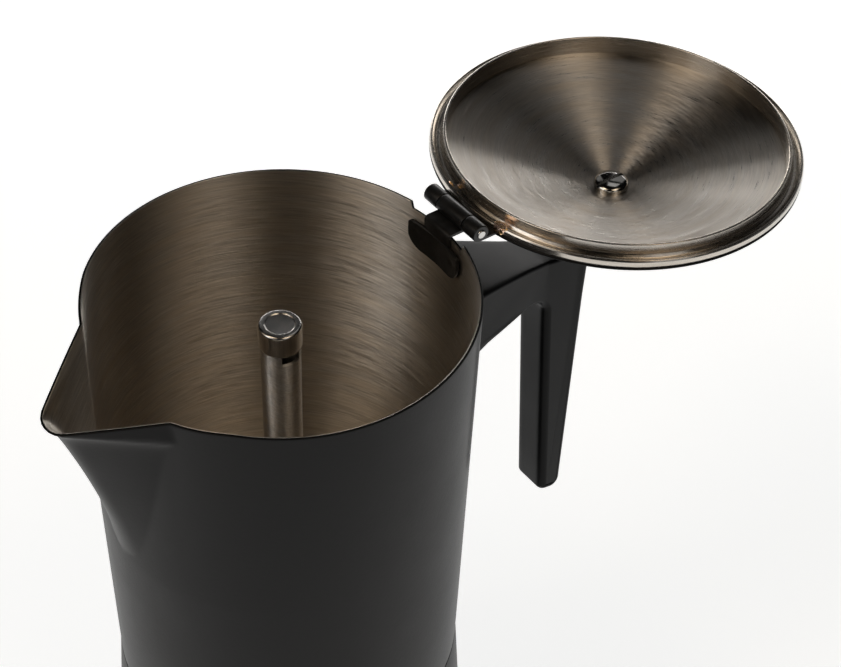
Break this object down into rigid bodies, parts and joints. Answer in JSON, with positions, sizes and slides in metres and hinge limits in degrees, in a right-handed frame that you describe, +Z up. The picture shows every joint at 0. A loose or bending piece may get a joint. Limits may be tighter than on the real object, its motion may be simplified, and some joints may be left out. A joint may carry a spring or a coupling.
{
  "type": "stovetop espresso maker",
  "caption": "Two-vessel stovetop coffee maker: flared boiler, straight jug with pouring spout, side handle, hinged lid folded back, funnel and riser column inside.",
  "frame": {"origin": "centre of the flat underside of the boiler's base disc, on the surface it stands on", "axes": "+Z up, +X towards the handle and the opened lid, -X towards the pouring spout, Y along the lid's hinge axis"},
  "size_m": [0.2201, 0.1075, 0.1952],
  "materials": {
    "black_lacquer": "satin black stove lacquer",
    "brushed_steel": "circumferentially brushed stainless steel",
    "satin_steel": "satin stainless tube and pressings",
    "polished_steel": "polished stainless fasteners and cap",
    "black_steel": "black-finished hinge steel",
    "heat_disc": "turned heat-spreading disc",
    "brass": "turned brass",
    "black_plastic": "fine-grained matt black phenolic",
    "silicone": "off-white food silicone",
    "fibre": "red vulcanised fibre"
  },
  "bodies": {
    "boiler": {"boiler_base": "heat_disc", "boiler_floor": "satin_steel", "boiler_shell": "black_lacquer", "boiler_shoulder": "brushed_steel", "boiler_neck": "brushed_steel", "valve_body": "brass", "valve_washer": "fibre", "valve_nut": "brass", "valve_cap": "brass", "valve_spring": "polished_steel"},
    "plunger": {"valve_pin": "polished_steel"},
    "funnel": {"funnel_basket": "satin_steel", "funnel_cone": "satin_steel", "funnel_stem": "satin_steel", "funnel_strainer": "satin_steel"},
    "seal": {"gasket": "silicone"},
    "filter": {"filter_plate": "satin_steel"},
    "jug": {"jug_wall": "black_lacquer", "jug_floor": "brushed_steel", "jug_collar": "brushed_steel", "column_tube": "satin_steel", "column_cap": "polished_steel", "hinge_bracket": "black_steel", "hinge_pin": "polished_steel", "handle_bracket": "brushed_steel", "handle": "black_plastic", "handle_screw": "polished_steel"},
    "lid": {"lid_cover": "black_lacquer", "lid_rim": "brushed_steel", "lid_leaf": "black_steel", "knob_washer": "silicone", "lid_knob": "black_plastic", "knob_insert": "brass", "knob_screw": "polished_steel"}
  },
  "joints": [
    {"name": "valve_pop", "type": "slide", "parent": "boiler", "child": "plunger", "axis": [0, -1, 0], "range_m": [0, 0.0015], "stiffness_N_per_m": 1500, "springref_m": -0.002, "deforming": ["valve_spring"]},
    {"name": "funnel_lift", "type": "slide", "parent": "boiler", "child": "funnel", "axis": [0, 0, 1], "range_m": [0, 0.08]},
    {"name": "jug_lift", "type": "slide", "parent": "funnel", "child": "seal", "axis": [0, 0, 1], "range_m": [0, 0.05]},
    {"name": "jug_turn", "type": "hinge", "parent": "seal", "child": "filter", "pos_m": [0, 0, 0.08], "axis": [0, 0, 1], "range_deg": [0, 900]},
    {"name": "thread_rise", "type": "slide", "parent": "filter", "child": "jug", "axis": [0, 0, 1], "range_m": [0, 0.0075]},
    {"name": "lid_hinge", "type": "hinge", "parent": "jug", "child": "lid", "pos_m": [0.0531, 0, 0.1927], "axis": [0, 1, 0], "range_deg": [-180.7, 0]}
  ],
  "couplings": [
    {"joint": "thread_rise", "follows": "jug_turn", "m_per_rad": 0.00047746}
  ]
}
